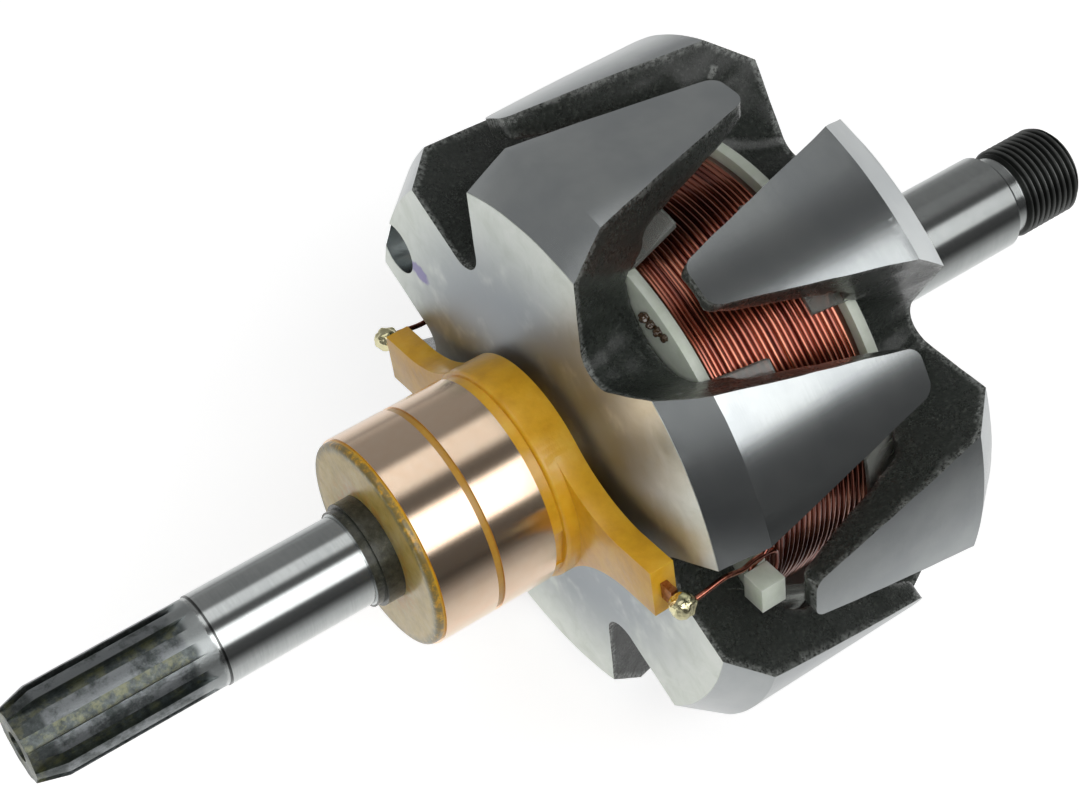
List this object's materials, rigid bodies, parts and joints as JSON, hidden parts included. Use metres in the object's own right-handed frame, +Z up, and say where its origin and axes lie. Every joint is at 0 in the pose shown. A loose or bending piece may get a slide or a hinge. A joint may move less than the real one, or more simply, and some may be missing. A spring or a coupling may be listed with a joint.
{
  "type": "claw-pole alternator rotor",
  "caption": "Claw-pole rotor of a vehicle alternator: interleaved steel claws over a copper field winding, twin slip rings on an ochre moulding, splined shaft end and threaded end.",
  "frame": {"origin": "on the shaft axis, at the shoulder of the drive-end bearing seat", "axes": "+X along the shaft towards the threaded end, +Z up with the shaft level and the rotor lying on its poles"},
  "size_m": [0.2003, 0.102, 0.102],
  "materials": {
    "ground_steel": "ground and polished, fine turning lines",
    "forged_steel": "turned pole faces, varnished rough forged flanks",
    "blackened_steel": "blackened and oily",
    "nylon": "translucent moulded nylon",
    "enamelled_copper": "glossy wire enamel over copper",
    "polished_copper": "polished by the brushes",
    "ochre_moulding": "glossy moulded resin",
    "solder": "bright solder"
  },
  "bodies": {
    "root": {"shaft": "ground_steel", "front_claw_pole": "forged_steel", "rear_claw_pole": "forged_steel", "pole_core": "forged_steel", "bobbin": "nylon", "field_winding": "enamelled_copper", "slip_ring_bush": "blackened_steel", "slip_ring_moulding": "ochre_moulding", "front_slip_ring": "polished_copper", "rear_slip_ring": "polished_copper", "terminal_tab_1": "polished_copper", "terminal_tab_2": "polished_copper", "solder_joint_1": "solder", "solder_joint_2": "solder", "winding_lead_1": "enamelled_copper", "winding_lead_2": "enamelled_copper"}
  },
  "joints": []
}
